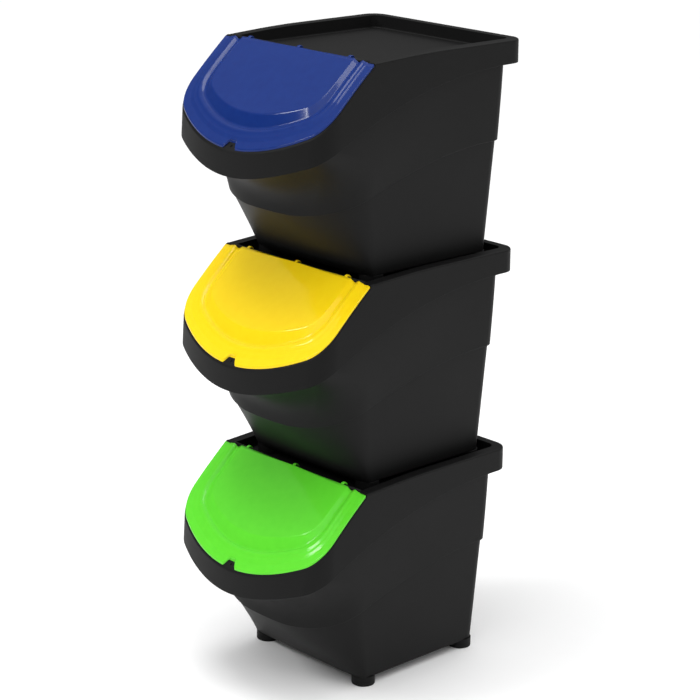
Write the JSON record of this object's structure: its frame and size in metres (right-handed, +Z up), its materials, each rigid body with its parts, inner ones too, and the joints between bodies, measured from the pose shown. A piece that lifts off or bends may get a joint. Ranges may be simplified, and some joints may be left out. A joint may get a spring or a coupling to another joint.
{
  "type": "recycling bin station",
  "caption": "Recycling station of stacked sorting bins; each has a sloping front mouth closed by a coloured tilting flap, a clip-on cover with a stacking tray, and an open container on feet.",
  "frame": {"origin": "on the floor, at the centre of the stack's footprint", "axes": "+Z up, -Y towards the noses and flaps, +Y towards the rear, +X to the right seen from the rear"},
  "size_m": [0.294, 0.4045, 0.8915],
  "materials": {
    "body_black": "satin moulded polypropylene",
    "flap_green": "glossy moulded polypropylene",
    "flap_yellow": "glossy moulded polypropylene",
    "flap_blue": "glossy moulded polypropylene"
  },
  "bodies": {
    "container_bottom": {"container_bottom": "body_black"},
    "cover_bottom": {"cover_bottom": "body_black"},
    "flap_bottom": {"flap_bottom": "flap_green"},
    "container_middle": {"container_middle": "body_black"},
    "cover_middle": {"cover_middle": "body_black"},
    "flap_middle": {"flap_middle": "flap_yellow"},
    "container_top": {"container_top": "body_black"},
    "cover_top": {"cover_top": "body_black"},
    "flap_top": {"flap_top": "flap_blue"}
  },
  "joints": [
    {"name": "cover_bottom_lift", "type": "slide", "parent": "container_bottom", "child": "cover_bottom", "axis": [0, 0, 1], "range_m": [0, 0.15]},
    {"name": "flap_bottom_hinge", "type": "hinge", "parent": "cover_bottom", "child": "flap_bottom", "pos_m": [0, -0.0767, 0.3035], "axis": [-1, 0, 0], "range_deg": [0, 90]},
    {"name": "bin_middle_lift", "type": "slide", "parent": "cover_bottom", "child": "container_middle", "axis": [0, 0, 1], "range_m": [0, 0.3]},
    {"name": "cover_middle_lift", "type": "slide", "parent": "container_middle", "child": "cover_middle", "axis": [0, 0, 1], "range_m": [0, 0.15]},
    {"name": "flap_middle_hinge", "type": "hinge", "parent": "cover_middle", "child": "flap_middle", "pos_m": [0, -0.0767, 0.5945], "axis": [-1, 0, 0], "range_deg": [0, 90]},
    {"name": "bin_top_lift", "type": "slide", "parent": "cover_middle", "child": "container_top", "axis": [0, 0, 1], "range_m": [0, 0.3]},
    {"name": "cover_top_lift", "type": "slide", "parent": "container_top", "child": "cover_top", "axis": [0, 0, 1], "range_m": [0, 0.15]},
    {"name": "flap_top_hinge", "type": "hinge", "parent": "cover_top", "child": "flap_top", "pos_m": [0, -0.0767, 0.8855], "axis": [-1, 0, 0], "range_deg": [0, 110]}
  ]
}
